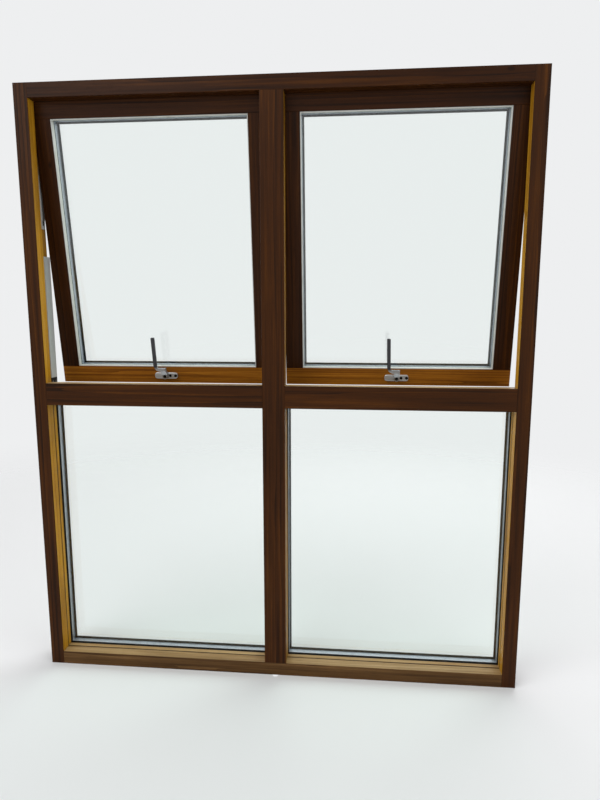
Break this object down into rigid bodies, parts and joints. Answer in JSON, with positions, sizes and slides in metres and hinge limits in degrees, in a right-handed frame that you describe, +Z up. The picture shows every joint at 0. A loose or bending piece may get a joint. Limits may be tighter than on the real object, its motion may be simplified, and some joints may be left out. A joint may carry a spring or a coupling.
{
  "type": "stained timber window with top-hung sashes",
  "caption": "Stained timber window with its frame: outward-opening top-hung sashes above, standing ajar, over fixed double-glazed lights, with cranked handles.",
  "frame": {"origin": "on the underside of the cill, in the plane of the frame's room face, below the middle of the mullion", "axes": "+X to the right as seen from the room, +Y outwards from the room, +Z up"},
  "size_m": [1.618, 0.2189, 1.95],
  "materials": {
    "stained_timber": "stained and varnished, grain along each member",
    "clear_glass": "clear float glass",
    "spacer_metal": "mill finish spacer bar",
    "pale_trim": "off-white, matt",
    "black_rubber": "matt",
    "handle_metal": "satin chrome",
    "stay_steel": "plated steel",
    "rail_metal": "grey anodised",
    "keep_plastic": "black, matt"
  },
  "bodies": {
    "frame": {"cheek_rails": "rail_metal", "cill": "stained_timber", "head": "stained_timber", "left_jamb": "stained_timber", "left_light_bottom_bead": "stained_timber", "left_light_gasket": "black_rubber", "left_light_inner_pane": "clear_glass", "left_light_left_bead": "stained_timber", "left_light_outer_bead": "stained_timber", "left_light_outer_pane": "clear_glass", "left_light_right_bead": "stained_timber", "left_light_spacer": "spacer_metal", "left_light_top_bead": "stained_timber", "left_transom": "stained_timber", "lock_keeps": "keep_plastic", "mullion": "stained_timber", "right_jamb": "stained_timber", "right_light_bottom_bead": "stained_timber", "right_light_gasket": "black_rubber", "right_light_inner_pane": "clear_glass", "right_light_left_bead": "stained_timber", "right_light_outer_bead": "stained_timber", "right_light_outer_pane": "clear_glass", "right_light_right_bead": "stained_timber", "right_light_spacer": "spacer_metal", "right_light_top_bead": "stained_timber", "right_transom": "stained_timber", "stay_tracks": "stay_steel", "weather_seals": "black_rubber"},
    "left_sash": {"left_handle_plate": "handle_metal", "left_sash_bottom_rail": "stained_timber", "left_sash_glazing_trim": "pale_trim", "left_sash_inner_pane": "clear_glass", "left_sash_left_stile": "stained_timber", "left_sash_outer_bead": "stained_timber", "left_sash_outer_pane": "clear_glass", "left_sash_pivot_bars": "stay_steel", "left_sash_right_stile": "stained_timber", "left_sash_spacer": "spacer_metal", "left_sash_top_rail": "stained_timber"},
    "left_handle": {"left_handle": "handle_metal"},
    "left_lock_rod": {"left_lock_rod": "stay_steel"},
    "left_stay_arms": {"left_stay_arms": "stay_steel"},
    "left_stay_shoes": {"left_stay_shoes": "stay_steel"},
    "right_sash": {"right_handle_plate": "handle_metal", "right_sash_bottom_rail": "stained_timber", "right_sash_glazing_trim": "pale_trim", "right_sash_inner_pane": "clear_glass", "right_sash_left_stile": "stained_timber", "right_sash_outer_bead": "stained_timber", "right_sash_outer_pane": "clear_glass", "right_sash_pivot_bars": "stay_steel", "right_sash_right_stile": "stained_timber", "right_sash_spacer": "spacer_metal", "right_sash_top_rail": "stained_timber"},
    "right_handle": {"right_handle": "handle_metal"},
    "right_lock_rod": {"right_lock_rod": "stay_steel"},
    "right_stay_arms": {"right_stay_arms": "stay_steel"},
    "right_stay_shoes": {"right_stay_shoes": "stay_steel"}
  },
  "joints": [
    {"name": "left_sash_swing", "type": "hinge", "parent": "frame", "child": "left_sash", "pos_m": [-0.4005, 0.088, 1.908], "axis": [1, 0, 0], "range_deg": [-7.5, 47.5]},
    {"name": "left_handle_turn", "type": "hinge", "parent": "left_sash", "child": "left_handle", "pos_m": [-0.4005, 0.15784, 1.02506], "axis": [0, 0.9914, 0.1305], "range_deg": [0, 90]},
    {"name": "left_lock_slide", "type": "slide", "parent": "left_sash", "child": "left_lock_rod", "axis": [-1, 0, 0], "range_m": [0, 0.0142]},
    {"name": "left_stay_fold", "type": "hinge", "parent": "left_sash", "child": "left_stay_arms", "pos_m": [-0.4005, 0.11149, 1.72954], "axis": [1, 0, 0], "range_deg": [-95.5, 15.5]},
    {"name": "left_shoe_turn", "type": "hinge", "parent": "left_stay_arms", "child": "left_stay_shoes", "pos_m": [-0.4005, 0.088, 1.55108], "axis": [1, 0, 0], "range_deg": [-8, 48]},
    {"name": "right_sash_swing", "type": "hinge", "parent": "frame", "child": "right_sash", "pos_m": [0.4005, 0.088, 1.908], "axis": [1, 0, 0], "range_deg": [-7.5, 47.5]},
    {"name": "right_handle_turn", "type": "hinge", "parent": "right_sash", "child": "right_handle", "pos_m": [0.4005, 0.15784, 1.02506], "axis": [0, 0.9914, 0.1305], "range_deg": [0, 90]},
    {"name": "right_lock_slide", "type": "slide", "parent": "right_sash", "child": "right_lock_rod", "axis": [-1, 0, 0], "range_m": [0, 0.0142]},
    {"name": "right_stay_fold", "type": "hinge", "parent": "right_sash", "child": "right_stay_arms", "pos_m": [0.4005, 0.11149, 1.72954], "axis": [1, 0, 0], "range_deg": [-95.5, 15.5]},
    {"name": "right_shoe_turn", "type": "hinge", "parent": "right_stay_arms", "child": "right_stay_shoes", "pos_m": [0.4005, 0.088, 1.55108], "axis": [1, 0, 0], "range_deg": [-8, 48]}
  ],
  "couplings": [
    {"joint": "left_lock_slide", "follows": "left_handle_turn", "m_per_rad": 0.009},
    {"joint": "left_stay_fold", "follows": "left_sash_swing", "ratio": -2},
    {"joint": "left_shoe_turn", "follows": "left_sash_swing", "ratio": 1},
    {"joint": "right_lock_slide", "follows": "right_handle_turn", "m_per_rad": 0.009},
    {"joint": "right_stay_fold", "follows": "right_sash_swing", "ratio": -2},
    {"joint": "right_shoe_turn", "follows": "right_sash_swing", "ratio": 1}
  ]
}
